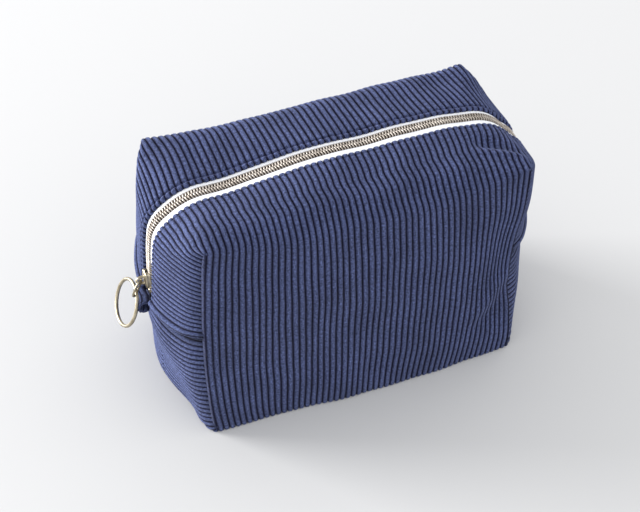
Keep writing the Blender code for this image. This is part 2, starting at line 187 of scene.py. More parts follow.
# Folds: a line, the side its valley is on, the push, the near and far widths, and the ridge's share.
FOLDS = (
    ((68.0, -26.0, 134.0), (89.0, -34.5, 133.0), (0.4, 0.92, 0.0), (0.0, 0.9, -3.6), 4.0, 6.0, 0.35),
    ((66.0, -51.0, 32.0), (82.0, -51.0, 54.0), (0.81, 0.0, -0.59), (0.0, 3.0, 0.0), 8.0, 18.0, 0.55),
    ((-40.0, 51.0, 95.0), (30.0, 51.0, 80.0), (0.1, 0.0, 1.0), (0.0, -1.6, 0.0), 5.0, 9.0, 0.3),
)
WAVE_SEED = 11
WAVE_COUNT = 14
WAVE_HEIGHT = 0.15
WAVE_DRIFT = 0.09


# ---- the body's shape

def smoothstep(low, high, value):
    t = np.clip((value - low) / (high - low), 0.0, 1.0)
    return t * t * (3.0 - 2.0 * t)


def half_length(w):
    straight = 0.25 * ((1.0 - w) * BASE_LENGTH + (1.0 + w) * TOP_LENGTH)
    return straight + CORNER_BOW * (1.0 - w * w)


def half_width(w):
    return 0.25 * ((1.0 - w) * BASE_WIDTH + (1.0 + w) * TOP_WIDTH)


def edge_radius(u, v, w):
    top = smoothstep(-0.1, 0.6, w)
    end_share = u ** 4 / (u ** 4 + v ** 4 + 1e-9)
    end_fold = END_FOLD_RADIUS * (1.0 - np.abs(v) ** 2.5)
    front_fold = FRONT_FOLD_RADIUS * (1.0 - u ** 4)
    return CORNER_RADIUS + top * (end_share * end_fold + (1.0 - end_share) * front_fold)


def outward(points):
    """Roughly the way out of the body at each point."""
    share = (points - (0.0, 0.0, 0.5 * HEIGHT)) / (107.0, 51.0, 68.0)
    way = share ** 5 / (107.0, 51.0, 68.0)
    return way / np.maximum(np.linalg.norm(way, axis=-1, keepdims=True), 1e-9)


def fold_shift(points, start, end, side, push, near, far, ridge):
    """The shift of a fold: a ridge along a line, and a valley beside it that fades out."""
    start, end, side = [np.array(p) for p in (start, end, side)]
    along = end - start
    length = np.linalg.norm(along)
    along = along / length
    side = side - along * np.dot(side, along)
    side = side / np.linalg.norm(side)
    third = np.cross(along, side)
    offset = points - start
    s, t, h = offset @ along / length, offset @ side, offset @ third
    valley = np.exp(-((t - near) / np.where(t < near, 0.8 * near, far)) ** 2)
    hill = ridge * np.exp(-((t + 0.5 * near) / (0.6 * near)) ** 2)
    reach = smoothstep(-0.35, 0.2, s) * smoothstep(1.35, 0.85, s) * np.exp(-(h / 10.0) ** 2)
    return (reach * (valley - hill))[..., None] * np.array(push)


def pushes(points, soft_spots):
    shift = np.zeros_like(points)
    for centre, spread, push in soft_spots:
        t = (points - np.array(centre)) / np.array(spread)
        shift += np.exp(-np.sum(t * t, -1))[..., None] * np.array(push)
    return shift


def make_waves():
    random = np.random.RandomState(WAVE_SEED)
    waves = []
    for _ in range(WAVE_COUNT):
        way = random.normal(size=3)
        way = way / np.linalg.norm(way) * 2.0 * math.pi / random.uniform(26.0, 75.0)
        waves.append((way, random.uniform(0.0, 2.0 * math.pi), random.uniform(0.0, 2.0 * math.pi)))
    return waves


WAVES = make_waves()


def relief(points):
    """Points with the cloth's slack in them: folds, dimples and a gentle waviness."""
    points = points + pushes(points, SLUMPS)
    shift = pushes(points, DIMPLES)
    for fold in FOLDS:
        shift += fold_shift(points, *fold)
    rise = np.zeros(points.shape[:-1])
    drift = np.zeros(points.shape[:-1])
    for way, phase, second in WAVES:
        turn = points @ way
        rise += np.sin(turn + phase)
        drift += np.sin(turn + second)
    out = outward(points)
    sideways = np.stack([1.0 - np.abs(out[..., 0]), 0.0 * rise, np.abs(out[..., 0])], -1)
    shift += WAVE_HEIGHT * rise[..., None] * out + WAVE_DRIFT * drift[..., None] * sideways
    shift[..., 2] *= smoothstep(1.0, 9.0, points[..., 2])
    return points + shift


def body_points(u, v, w, inset=0.0):
    """Points of the body's surface from points of a cube's surface, at a depth of inset."""
    u, v, w, inset = [np.asarray(a, float) for a in np.broadcast_arrays(u, v, w, inset)]
    half = np.stack([half_length(w) - inset, half_width(w) - inset, 0.5 * HEIGHT - inset], -1)
    radius = np.maximum(edge_radius(u, v, w) - inset, 0.4)[..., None]
    flat = np.stack([u, v, w], -1) * half
    core = np.clip(flat, radius - half, half - radius)
    out = flat - core
    out *= radius / np.maximum(np.linalg.norm(out, axis=-1, keepdims=True), 1e-9)
    x, y, z = np.moveaxis(core + out, -1, 0)
    z = z + 0.5 * HEIGHT
    end_bulge = END_BULGE + (END_BULGE_AT_TOP - END_BULGE) * smoothstep(0.0, 1.0, w)
    x = x + np.sign(u) * end_bulge * (1.0 - np.abs(v) ** 2.3) ** 0.85 * np.abs(u) ** 3
    y = y + np.sign(v) * FACE_BULGE * (1.0 - u * u) * (1.0 - 0.7 * w * w) * np.abs(v) ** 3
    rise = (0.5 + 0.5 * w) ** 3
    z = z + rise * (1.0 - 0.85 * v * v) * (TOP_DOME * (1.0 - u ** 6) - DOME_LEAN * u)
    return relief(np.stack([x, y, z], -1))


def seam_w(v):
    """The cube's w of the end seam, which dips towards the zip."""
    z = SEAM_AT_ZIP + (SEAM_AT_CORNER - SEAM_AT_ZIP) * np.abs(v) ** 1.5
    return 2.0 * z / HEIGHT - 1.0


def loop_path(v, up):
    """Cube points (u, w) along the strip at v, over the top or under the base, seam to seam."""
    ease = 0.5 - 0.5 * np.cos(np.linspace(0.0, math.pi, 160))
    far = 1.0 if up else -1.0
    side = seam_w(v) + (far - seam_w(v)) * ease
    across = np.sin(np.linspace(-0.5, 0.5, 321) * math.pi) * 0.4 + np.linspace(-1, 1, 321) * 0.6
    u = np.concatenate([-np.ones(159), across, np.ones(159)])
    w = np.concatenate([side[:-1], np.full(321, far), side[:-1][::-1]])
    return u, w, (159, 159 + 320)


def run_lengths(points):
    return np.concatenate([[0.0], np.cumsum(np.linalg.norm(np.diff(points, axis=0), axis=1))])


@functools.lru_cache(maxsize=None)
def fold_pitch(v, inset, up):
    """The width of a wale along the fold at v = 1 or -1."""
    u, w, (first, last) = loop_path(v, up)
    run = run_lengths(body_points(u, v, w, inset))
    return 0.5 * (run[last] - run[first]) / WALES_TO_CORNER


def strip_row(v, inset, wales, up):
    """One row of the strip at v: points for the given wale positions, their cube u, and how far
    each is from the end seam."""
    u, w, (first, last) = loop_path(v, up)
    points = body_points(u, v, w, inset)
    run = run_lengths(points)
    pitch = fold_pitch(math.copysign(1.0, v), inset, up) * (1.0 + WALE_SPREAD * (1.0 - abs(v)) ** 2)
    corner = 0.5 * (run[last] - run[first]) / pitch
    end = WALES_TO_END_SEAM if up else WALES_TO_BASE_SEAM
    run_at = np.interp(wales, (-end, -corner, corner, end), (0.0, run[first], run[last], run[-1]))
    row = np.stack([np.interp(run_at, run, points[:, axis]) for axis in range(3)], -1)
    return row, np.interp(run_at, run, u), np.minimum(run_at, run[-1] - run_at)


def wale_columns(end, steps):
    """Wale positions from -end to end, with points at every groove, over every rib and at the corners."""
    whole = (np.arange(-end, end)[:, None] + np.array(steps)[None, :]).ravel()
    whole = whole[np.abs(np.abs(whole) - WALES_TO_CORNER) > 0.03]
    return np.unique(np.concatenate([whole, (-WALES_TO_CORNER, WALES_TO_CORNER, float(end))]))


# ---- meshes

def new_mesh(name, points, faces, uv=None, shade=None):
    """A mesh object from points in millimetres and faces, given as one array of quads."""
    points = np.asarray(points, np.float32) * MM
    faces = np.asarray(faces, np.int32)
    mesh = bpy.data.meshes.new(name)
    size = faces.shape[1]
    mesh.vertices.add(len(points))
    mesh.vertices.foreach_set("co", points.ravel())
    mesh.loops.add(faces.size)
    mesh.loops.foreach_set("vertex_index", faces.ravel())
    mesh.polygons.add(len(faces))
    mesh.polygons.foreach_set("loop_start", np.arange(0, faces.size, size, dtype=np.int32))
    mesh.polygons.foreach_set("use_smooth", np.full(len(faces), True))
    mesh.update(calc_edges=True)
    if uv is not None:
        layer = mesh.uv_layers.new(name="cloth")
        layer.data.foreach_set("uv", np.asarray(uv, np.float32)[faces.ravel()].ravel())
        shade = np.ones(len(points)) if shade is None else shade
        pairs = np.stack([shade, shade], -1).astype(np.float32)
        mesh.uv_layers.new(name="shade").data.foreach_set("uv", pairs[faces.ravel()].ravel())
    mesh.validate()
    item = bpy.data.objects.new(name, mesh)
    bpy.context.scene.collection.objects.link(item)
    return item


def grid_faces(index):
    """Quads over a 2-D array of point numbers."""
    quads = np.stack([index[:-1, :-1], index[:-1, 1:], index[1:, 1:], index[1:, :-1]], -1)
    return quads.reshape(-1, 4)


def point_normals(points, faces):
    a, b, c, d = [points[faces[:, i]] for i in range(4)]
    normal = np.cross(c - a, d - b)
    total = np.zeros_like(points)
    for i in range(4):
        np.add.at(total, faces[:, i], normal)
    return total / np.maximum(np.linalg.norm(total, axis=1, keepdims=True), 1e-12)


class Shell:
    """Points, faces and cloth coordinates gathered from grids, then made into one mesh."""

    def __init__(self):
        self.points, self.uv, self.shade, self.faces, self.count = [], [], [], [], 0

    def add_grid(self, points, uv, shade=1.0):
        """Take in a 2-D array of points; gives back their numbers, in the same shape."""
        points = np.asarray(points, float)
        index = self.count + np.arange(points[..., 0].size).reshape(points.shape[:2])
        self.points.append(points.reshape(-1, 3))
        self.uv.append(np.asarray(uv, float).reshape(-1, 2))
        self.shade.append(np.broadcast_to(shade, points.shape[:2]).ravel())
        self.count += index.size
        return index

    def join(self):
        return [np.concatenate(part) for part in (self.points, self.uv, self.shade, self.faces)]


# ---- the cloth

def rib(wales):
    """The height of the corduroy's pile over its ground, from 0 in a groove to 1 on a rib."""
    across = np.abs(2.0 * (wales - np.floor(wales)) - 1.0)
    return np.maximum(1.0 - across ** 2.5, 0.0) ** 0.7


def dip(distance, lip, lip_at, sink, fade):
    """How far cloth stands out at a distance from a seam: a soft lip, then a dip into the seam."""
    return lip * np.exp(-((distance - lip_at) / lip_at) ** 2) - sink * np.exp(-distance / fade)


def folded_edge_rows(edge):
    """Rows (y, depth) of the folded edge by the zip, from under the fold to the top."""
    curl = [(edge + 4.5, 1.75), (edge + 1.8, 1.7), (edge + 0.7, 1.6), (edge + 0.18, 1.25),
            (edge, 0.85), (edge + 0.15, 0.42), (edge + 0.5, 0.14), (edge + 1.05, 0.0)]
    flat = [(edge + step, 0.0) for step in (1.7, 2.2, 2.5, 2.7, 2.9, 3.2, 3.8, 4.8)]
    return curl + flat


def strip_grid(side, rows, wales, inset, up, tucked):
    """A strip's points, row by row, its last row's cube u, the length down each column, and for the outer
    cloth the painted shade that darkens it towards the seams.
    """
    grid, shades = [], []
    for y, depth in rows:
        v = side * y / (0.5 * TOP_WIDTH)
        row, cube_u, to_seam = strip_row(v, inset + depth, wales, up)
        on_end = smoothstep(WALES_TO_CORNER - 0.4, WALES_TO_CORNER + 2.2, np.abs(wales))
        to_corner = (1.0 - abs(v)) * 0.5 * TOP_WIDTH
        if not tucked:
            end_sink, end_reach, side_sink, side_reach = LINING_SINK
            sink = end_sink * np.exp(-(to_seam / end_reach) ** 2)
            sink = sink + side_sink * math.exp(-(to_corner / side_reach) ** 2)
            row[:, 0] -= np.sign(row[:, 0]) * on_end * sink
        else:
            out = dip(to_seam, *(UPPER_DIP if up else LOWER_DIP))
            out = out * math.exp(-max(0.0, 7.0 - y) / 7.0)
            broad, broad_reach, sharp, sharp_reach = CORNER_SINK
            out = out - on_end * (broad * math.exp(-(to_corner / broad_reach) ** 2)
                                  + sharp * math.exp(-to_corner / sharp_reach))
            row[:, 0] += np.sign(row[:, 0]) * out * smoothstep(0.0, 10.0, row[:, 2])
            # Painted shade: the outer cloth darkens into the end seam, more broadly below it, and into the
            # corner seams.
            shade = 1.0 - 0.85 * np.exp(-(to_seam / (1.2 if up else 5.0)) ** 2)
            shades.append(shade * (1.0 - 0.6 * on_end * math.exp(-(to_corner / 2.6) ** 2)))
        grid.append(row)
    grid = np.array(grid)
    steps = np.linalg.norm(np.diff(grid, axis=0), axis=2)
    shades = np.array(shades) if tucked else 1.0
    return grid, cube_u, np.vstack([np.zeros(grid.shape[1]), np.cumsum(steps, axis=0)]), shades


def half_shell(side, top_rows, inset, steps, tucked):
    """One side's panel as a shell: top strip, face and base strip, seam to seam."""
    shell = Shell()
    top_wales = wale_columns(WALES_TO_END_SEAM, steps)
    base_wales = wale_columns(WALES_TO_BASE_SEAM, steps)
    top, top_u, top_run, top_shade = strip_grid(side, top_rows, top_wales, inset, True, tucked)
    base_rows = [(0.5 * TOP_WIDTH * (1.0 - (1.0 - level) ** 1.25), 0.0) for level in np.linspace(0, 1, 36)]
    base, base_u, base_run, base_shade = strip_grid(side, base_rows, base_wales, inset, False, tucked)
    on_top = np.abs(top_wales) <= WALES_TO_CORNER + 1e-6
    on_base = np.abs(base_wales) <= WALES_TO_CORNER + 1e-6
    wales = top_wales[on_top]
    drop = np.linspace(1.0, -1.0, 101)[1:-1]
    face = []
    for w in 0.75 * drop + 0.25 * np.sin(0.5 * math.pi * drop):
        cube_u = wales / WALES_TO_CORNER
        cube_u = cube_u + smoothstep(0.5, 1.0, w) * (top_u[on_top] - cube_u)
        cube_u = cube_u + smoothstep(-0.5, -1.0, w) * (base_u[on_base] - cube_u)
        row = body_points(cube_u, float(side), w, inset)
        if tucked:
            away = (1.0 - np.abs(cube_u)) * half_length(w)
            fade = smoothstep(1.0, 0.86, w)
            out = 0.5 * np.exp(-((away - 0.9) / 0.5) ** 2) - 1.5 * np.exp(-(away / 0.45) ** 2)
            row[:, 1] += side * out * fade
        face.append(row)
    face = np.array(face)

    def cloth_uv(columns, run):
        return np.stack([np.broadcast_to(columns, run.shape), run / WALE], -1)

    face_run = np.linspace(50.0, 50.0 + HEIGHT, len(face) + 2)[1:-1, None] + 0.0 * wales
    top_index = shell.add_grid(top, cloth_uv(top_wales, top_run), top_shade)
    base_index = shell.add_grid(base, cloth_uv(base_wales, 235.0 - base_run), base_shade)
    # Painted shade on the face's edges, where they turn into the corner seams.
    edge_shade = 1.0 - 0.55 * np.exp(-((WALES_TO_CORNER - np.abs(wales)) / 0.12) ** 2)
    face_index = shell.add_grid(face, cloth_uv(wales, face_run), edge_shade)
    face_index = np.vstack([top_index[-1][on_top], face_index, base_index[-1][on_base]])
    shell.faces += [grid_faces(top_index), grid_faces(face_index), grid_faces(base_index[::-1])]
    if tucked:
        add_tucks(shell, side, (top, top_index, top_wales), (base, base_index, base_wales), face, face_index)
    shell.index = {"top": top_index, "base": base_index, "face": face_index}
    return shell


def add_tucks(shell, side, top_strip, base_strip, face, face_index):
    """The seam allowances: cloth turned inwards at the corner seams and the end seams."""
    for grid, index, wales in (top_strip, base_strip):
        up = grid is top_strip[0]
        for sign in (-1, 1):
            end = wales * sign >= WALES_TO_CORNER - 1e-6
            inward = np.array((-0.9 * sign, -0.3 * side, 0.0)) * TUCK_DEPTH
            edge = grid[-1][end]
            uv = np.stack([wales[end], np.full(end.sum(), 60.0)], -1)
            row = shell.add_grid((edge + inward)[None], uv[None], TUCK_SHADE)
            pair = np.vstack([index[-1][end], row])
            shell.faces.append(grid_faces(pair if up else pair[::-1]))
            column = 0 if sign < 0 else -1
            inward = np.array((-1.0 * sign, 0.0, -0.5 if up else 0.35)) * TUCK_DEPTH
            edge = grid[:, column]
            uv = np.stack([np.full(len(edge), sign * wales[-1]), np.zeros(len(edge))], -1)
            line = shell.add_grid((edge + inward)[:, None], uv[:, None], TUCK_SHADE)
            pair = np.hstack([line, index[:, [column]]])[:, ::-sign]
            shell.faces.append(grid_faces(pair if up else pair[::-1]))
    for sign in (-1, 1):
        column = 0 if sign < 0 else -1
        numbers = face_index[1:-1, column]
        edge = face[:, column]
        inward = np.array((-0.5 * sign, -0.85 * side, 0.0)) * TUCK_DEPTH
        uv = np.stack([np.full(len(edge), sign * WALES_TO_CORNER), np.arange(len(edge)) * 0.37], -1)
        line = shell.add_grid((edge + inward)[:, None], uv[:, None], TUCK_SHADE)
        shell.faces.append(grid_faces(np.hstack([line, numbers[:, None]])[:, ::-sign]))


def face_outwards(points, faces):
    """The faces, all turned over if most of them point into the body."""
    normals = point_normals(points, faces)
    if np.sum(normals * outward(points)) < 0.0:
        faces = faces[:, ::-1]
        normals = -normals
    return faces, normals


def make_cloth(side, label):
    """The outer cloth on one side of the zip, ribs and all."""
    rows = folded_edge_rows(EDGE[side])
    y = rows[-1][0]
    count = int(round((0.5 * TOP_WIDTH - y) / 1.3))
    fractions = 1.0 - (1.0 - np.arange(1, count + 1) / count) ** 1.2
    rows += [(y + (0.5 * TOP_WIDTH - y) * t, 0.0) for t in fractions]
    shell = half_shell(side, rows, 0.0, RIB_STEPS, True)
    points, uv, shade, faces = shell.join()
    faces, normals = face_outwards(points, faces)
    pinch = np.zeros(len(points))
    away = np.array([row[0] for row in rows]) - EDGE[side] - STITCH_INSET
    pinch[shell.index["top"]] = PINCH[side] * np.exp(-(away / 0.5) ** 2)[:, None]
    height = RIB_HEIGHT * rib(uv[:, 0]) * (1.0 - 0.6 * pinch)
    points = points + normals * (height - 0.6 * RIB_HEIGHT - 0.5 * pinch)[:, None]
    return new_mesh(f"cloth_{label}", points, faces, uv, shade)


def make_lining(side, label):
    """The lining: the same panel set inwards, smooth, with a thickness."""
    count = 14
    rows = [(LINING_EDGE + (0.5 * TOP_WIDTH - LINING_EDGE) * i / count, 0.0) for i in range(count + 1)]
    shell = half_shell(side, rows, LINING_INSET, (0.0, 0.5), False)
    points, uv, _, faces = shell.join()
    faces, _ = face_outwards(points, faces)
    item = new_mesh(f"lining_{label}", points, faces, uv)
    return apply_modifier(item, "SOLIDIFY", thickness=LINING_THICKNESS * MM, offset=-1.0)


def apply_modifier(item, kind, **settings):
    modifier = item.modifiers.new("shape", kind)
    for key, value in settings.items():
        setattr(modifier, key, value)
    graph = bpy.context.evaluated_depsgraph_get()
    graph.update()
    mesh = bpy.data.meshes.new_from_object(item.evaluated_get(graph), depsgraph=graph)
    item.modifiers.clear()
    item.data = mesh
    return item


# ---- the zip

def zip_table():
    """The zip's middle line: cube points and the length run, from the left end to the right."""
    u, w, _ = loop_path(0.0, True)
    points = body_points(u, 0.0, w, 0.0)
    return u, w, points, run_lengths(points)


ZIP_U, ZIP_W, ZIP_POINTS, ZIP_RUN = zip_table()


def zip_points(s, y, depth):
    """Points beside the zip: s along its middle line, y across it, and a depth below the cloth."""
    s, y, depth = np.broadcast_arrays(np.asarray(s, float), y, depth)
    u = np.interp(s, ZIP_RUN, ZIP_U)
    w = np.interp(s, ZIP_RUN, ZIP_W)
    return body_points(u, y / half_width(w), w, depth)


def run_at_height(z, left):
    """How far along the zip's line its height is z, on the left or the right end."""
    half = len(ZIP_RUN) // 3
    if left:
        return float(np.interp(z, ZIP_POINTS[:half, 2], ZIP_RUN[:half]))
    return float(np.interp(z, ZIP_POINTS[-half:, 2][::-1], ZIP_RUN[-half:][::-1]))


def sweep(centres, side_ways, radius, sides, squash=1.0):
    """Tubes along lines of points: centres is (tubes, points, 3); every tube is closed at its ends."""
    ahead = np.gradient(centres, axis=1)
    ahead /= np.maximum(np.linalg.norm(ahead, axis=-1, keepdims=True), 1e-9)
    first = side_ways - ahead * np.sum(side_ways * ahead, -1, keepdims=True)
    first /= np.maximum(np.linalg.norm(first, axis=-1, keepdims=True), 1e-9)
    second = np.cross(ahead, first)
    turn = 2.0 * math.pi * np.arange(sides) / sides
    ring = (np.cos(turn)[:, None] * first[:, :, None] + squash * np.sin(turn)[:, None] * second[:, :, None])
    radius = np.broadcast_to(radius, centres.shape[:2])[:, :, None, None]
    points = centres[:, :, None] + radius * ring
    tubes, length = centres.shape[:2]
    index = np.arange(tubes * length * sides).reshape(tubes, length, sides)
    here, there = index[:, :-1], index[:, 1:]
    walls = np.stack([here, np.roll(here, -1, 2), np.roll(there, -1, 2), there], -1).reshape(-1, 4)
    caps = []
    for i in range(sides // 2 - 1):
        quad = [0, i + 1, i + 2, sides - 1 - i] if i == 0 else [sides - i, i + 1, i + 2, sides - 1 - i]
        caps += [index[:, 0][:, quad], index[:, -1][:, quad[::-1]]]
    return points.reshape(-1, 3), np.concatenate([walls] + caps)


def make_coil(side, label):
    """One side's row of coil teeth, each a flattened loop of wire reaching over the middle line."""
    start = run_at_height(COIL_FROM_Z, True)
    end = run_at_height(COIL_FROM_Z, False)
    count = int((end - start) / COIL_PITCH)
    s = start + COIL_PITCH * (np.arange(count) + (0.25 if side < 0 else 0.75))
    y = np.array([p[0] for p in TOOTH])
    depth = np.array([p[1] for p in TOOTH])
    slant = TOOTH_SLANT * (y / 3.0)
    centres = zip_points(s[:, None] + slant[None, :], side * y[None, :], depth[None, :])
    along = zip_points(s + 0.5, 0.0, 0.0) - zip_points(s - 0.5, 0.0, 0.0)
    along = np.broadcast_to(along[:, None], centres.shape)
    points, faces = sweep(centres, along, COIL_WIRE, 8, 0.8)
    return new_mesh(f"coil_{label}", points, faces)


def make_tape(side, label):
    """One side's woven tape, with a rolled edge at the teeth."""
    edge = EDGE[side]
    s = np.linspace(1.5, ZIP_RUN[-1] - 1.5, 321)
    top = [(0.3, 2.1), (0.5, 1.95), (1.2, 1.9), (2.9, 1.8), (3.5, 1.3), (edge - 1.2, 1.2),
           (edge, 1.4), (edge + 0.8, 2.1), (edge + 3.0, 2.3), (TAPE_OUTER, 2.35)]
    rows = top + [(y, depth + TAPE_THICKNESS) for y, depth in top[::-1]]
    rows.append(rows[0])
    y = np.array([r[0] for r in rows])[:, None]
    depth = np.array([r[1] for r in rows])[:, None]
    under_slider = smoothstep(run_at_height(94.0, True), run_at_height(87.0, True), s)
    points = zip_points(s[None, :], side * y, depth + 0.8 * under_slider * (depth < 1.5))
    shell = Shell()
    index = shell.add_grid(points[:-1], np.stack([s + 0.0 * y[:-1], y[:-1] + 0.0 * s], -1))
    index = np.vstack([index, index[:1]])
    shell.faces.append(grid_faces(index))
    low, high = index[:, 0], index[:, -1]
    for line, turn in ((low, 1), (high, -1)):
        count = len(top)
        strip = np.stack([line[:count - 1], line[1:count], line[2 * count - 2:count - 1:-1],
                          line[2 * count - 1:count:-1]], -1)
        shell.faces.append(strip[:, ::turn])
    points, uv, _, faces = shell.join()
    return new_mesh(f"tape_{label}", points, faces if side > 0 else faces[:, ::-1], uv)


def make_stitches(side, label):
    """The topstitching: short sunken stitches along the folded edge."""
    pitch = STITCH_LENGTH + STITCH_GAP
    start, end = 4.0, ZIP_RUN[-1] - 4.0
    s = np.arange(start, end - STITCH_LENGTH, pitch)
    t = np.linspace(0.0, 1.0, 7)
    depth = 0.5 + 0.9 * np.abs(2.0 * t - 1.0) ** 4
    y = side * (EDGE[side] + STITCH_INSET)
    centres = zip_points(s[:, None] + STITCH_LENGTH * t[None, :], y, depth[None, :])
    across = np.zeros_like(centres)
    across[..., 1] = 1.0
    points, faces = sweep(centres, across, 0.3, 6)
    return new_mesh(f"stitches_{label}", points, faces)


def node_span(name):
    """A CAD node's low and high corners in millimetres, as arrays."""
    low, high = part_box(name)
    return np.array(low) / MM, np.array(high) / MM


def stacked(outlines):
    """A closed solid from a stack of outlines with the same number of points, capped at both ends."""
    outlines = np.asarray(outlines, float)
    levels, count = outlines.shape[:2]
    index = np.arange(levels * count).reshape(levels, count)
    faces = [grid_faces(np.hstack([index, index[:, :1]]))]
    for line, turn in ((index[0], 1), (index[-1], -1)):
        half = count // 2
        caps = np.stack([line[:half - 1], line[1:half], line[count - 2:half - 1:-1],
                         line[count - 1:half:-1]], -1)
        faces.append(caps[:, ::-turn])
    return outlines.reshape(-1, 3), np.concatenate(faces)


def channel_outline(half, top, lip, wall, plate, corner=0.7):
    """The section (y, depth) of a plate with two flanges; the two halves of the list mirror each other."""
    outer = []
    for step in range(5):
        angle = 0.5 * math.pi * step / 4
        outer.append((half - corner + corner * math.cos(angle), top + corner - corner * math.sin(angle)))
    right = [(half - 0.12, lip)] + [(half, lip - 0.12)] + outer + [(0.4 * half, top), (0.01, top - 0.02)]
    inner = [(half - wall + 0.1, lip), (half - wall, lip - 0.1), (half - wall, top + plate + 0.3),
             (half - wall - 0.3, top + plate), (0.4 * half, top + plate), (0.01, top + plate)]
    left = [(-y, depth) for y, depth in right[::-1]]
    inner_left = [(-y, depth) for y, depth in inner[::-1]]
    return right + left + inner_left + inner[::-1]


def end_rounding(level, length, radius):
    """How far an outline draws in near its ends: 0 in the middle, 1 at the tips."""
    past = max(0.0, 1.0 - level / radius, (level - length + radius) / radius)
    return 1.0 - math.sqrt(max(0.0, 1.0 - past * past))


def slider_plate(x_outer, way, lip_depth, crowned, low_z, length):
    """One of the slider's two plates with its flanges."""
    outlines = []
    full = 11.0
    for level in (0.0, 0.12, 0.4, 1.4, 3.0, 5.5, 8.0, 9.6, 10.6, 10.88, 11.0):
        share = level / full
        half = SLIDER_HALF_WIDTH - SLIDER_TAPER * smoothstep(0.15, 0.95, share)
        half -= 0.9 * end_rounding(level, full, 0.9)
        shrink = 0.3 * end_rounding(level, full, 0.4)
        crown = -0.25 * math.sin(math.pi * share) if crowned else 0.0
        section = channel_outline(half, shrink, lip_depth - shrink, SLIDER_WALL, 1.0 - 2.0 * shrink)
        outlines.append([(x_outer + way * depth + crown * (1.0 - (y / 4.8) ** 2), y,
                          low_z + share * length) for y, depth in section])
    return channel_solid(outlines)


def make_slider():
    """The slider: a crowned plate with flanges, a back plate, and the wedge that joins them."""
    low, high = node_span("slider_body")
    low_z = low[2] + SLIDER_TRIM[0]
    length = high[2] - SLIDER_TRIM[1] - low_z
    wedge = [[(x, y, low_z + z) for y, z in ((-0.34, 0.3), (0.34, 0.3), (0.3, 1.6), (0.0, 2.3))]
             for x in (low[0] + 0.6, high[0] - 0.6)]
    solids = (slider_plate(low[0], 1.0, 2.7, True, low_z, length),
              slider_plate(high[0], -1.0, 1.35, False, low_z, length), stacked(wedge))
    starts = np.cumsum([0] + [len(points) for points, _ in solids])
    points = np.concatenate([points for points, _ in solids])
    return new_mesh("slider", points, np.concatenate([f + n for (_, f), n in zip(solids, starts)]))


def channel_solid(outlines):
    """A channel from its sections: a tube of walls, with the two ends closed."""
    outlines = np.asarray(outlines, float)
    levels, count = outlines.shape[:2]
    index = np.arange(levels * count).reshape(levels, count)
    faces = [grid_faces(np.hstack([index, index[:, :1]]))]
    # The outer run has 18 points and the inner one 12; the cap joins them across.
    outer, inner = np.arange(18), np.arange(count - 1, 17, -1)
    stretch = np.round(np.linspace(0, len(inner) - 1, 18)).astype(int)
    for line, turn in ((index[0], 1), (index[-1], -1)):
        a, b = line[outer], line[inner[stretch]]
        faces.append(np.stack([a[:-1], a[1:], b[1:], b[:-1]], -1)[:, ::turn])
    return outlines.reshape(-1, 3), np.concatenate(faces)


def loop(name, centre, long_way, short_way, half_long, half_short, wire, segments, sides):
    """A closed wire loop: an oval with a round section."""
    angle = 2.0 * math.pi * np.arange(segments) / segments
    c, s = np.cos(angle)[:, None], np.sin(angle)[:, None]
    spots = centre + half_long * c * long_way + half_short * s * short_way
    out = half_short * c * long_way + half_long * s * short_way
    out /= np.linalg.norm(out, axis=1, keepdims=True)
    normal = np.cross(long_way, short_way)
    turn = 2.0 * math.pi * np.arange(sides) / sides
    ring = np.cos(turn)[None, :, None] * out[:, None] + np.sin(turn)[None, :, None] * normal
    points = spots[:, None] + 0.5 * wire * ring
    index = np.arange(segments * sides).reshape(segments, sides)
    index = np.vstack([index, index[:1]])
    index = np.hstack([index, index[:, :1]])
    return new_mesh(name, points.reshape(-1, 3), grid_faces(index))


def lean(angle):
    return np.array((-math.sin(math.radians(angle)), 0.0, -math.cos(math.radians(angle))))


def make_pull():
    """The bridge on the slider, the link through it and the ring through the link."""
    low, high = node_span("slider_bridge")
    x_top, x_foot = low[0] + 0.55, high[0] + 0.5
    bottom, top = low[2] + 0.6, high[2] - 0.6
    middle, half = 0.5 * (bottom + top), 0.5 * (top - bottom)
    path = []
    for t in np.linspace(0.0, 1.0, 23):
        angle = math.pi * t
        rise = math.sin(angle) ** 0.6
        path.append((x_foot + (x_top - x_foot) * rise, 0.0, middle - half * math.cos(angle)))
    centres = np.array(path)[None]
    across = np.broadcast_to((0.0, 1.0, 0.0), centres.shape)
    points, faces = sweep(centres, across, 0.9, 12, 0.6)
    bridge = new_mesh("bridge", points, faces)

    low, high = node_span("pull_link")
    down = lean(LINK_LEAN)
    turned = Matrix.Rotation(math.radians(LINK_TWIST), 3, Vector(down)) @ Vector((0.0, 1.0, 0.0))
    link = loop("link", 0.5 * (low + high), down, np.array(turned), *LINK_SIZE, 64, 14)
    low, high = node_span("pull_ring")
    side = np.array((0.0, 1.0, 0.0))
    ring = loop("ring", 0.5 * (low + high), lean(RING_LEAN), side, *RING_SIZE, 128, 18)
    return bridge, link, ring


def round_square(count, wide, tall):
    """Spots round a section between a circle and a square, from -1 to 1 both ways."""
    spots = []
    for step in range(count):
        angle = 2.0 * math.pi * (step + 0.5) / count
        c, s = math.cos(angle), math.sin(angle)
        spots.append((math.copysign(abs(c) ** wide, c), math.copysign(abs(s) ** tall, s)))
    return spots


def make_stop(name, low, high):
    """A small crimped metal clip over the tape's edge."""
    centre, half = 0.5 * (low + high), 0.5 * (high - low)
    outlines = []
    for level in np.linspace(-1.0, 1.0, 9):
        reach = max((1.0 - level ** 4) ** 0.25, 0.35)
        outlines.append([(centre[0] + half[0] * tall * reach,
                          centre[1] + half[1] * wide * (0.75 + 0.25 * reach),
                          centre[2] + half[2] * level) for wide, tall in round_square(16, 0.5, 0.5)])
    points, faces = stacked(outlines)
    return new_mesh(name, points, faces)


# ---- tabs and bindings

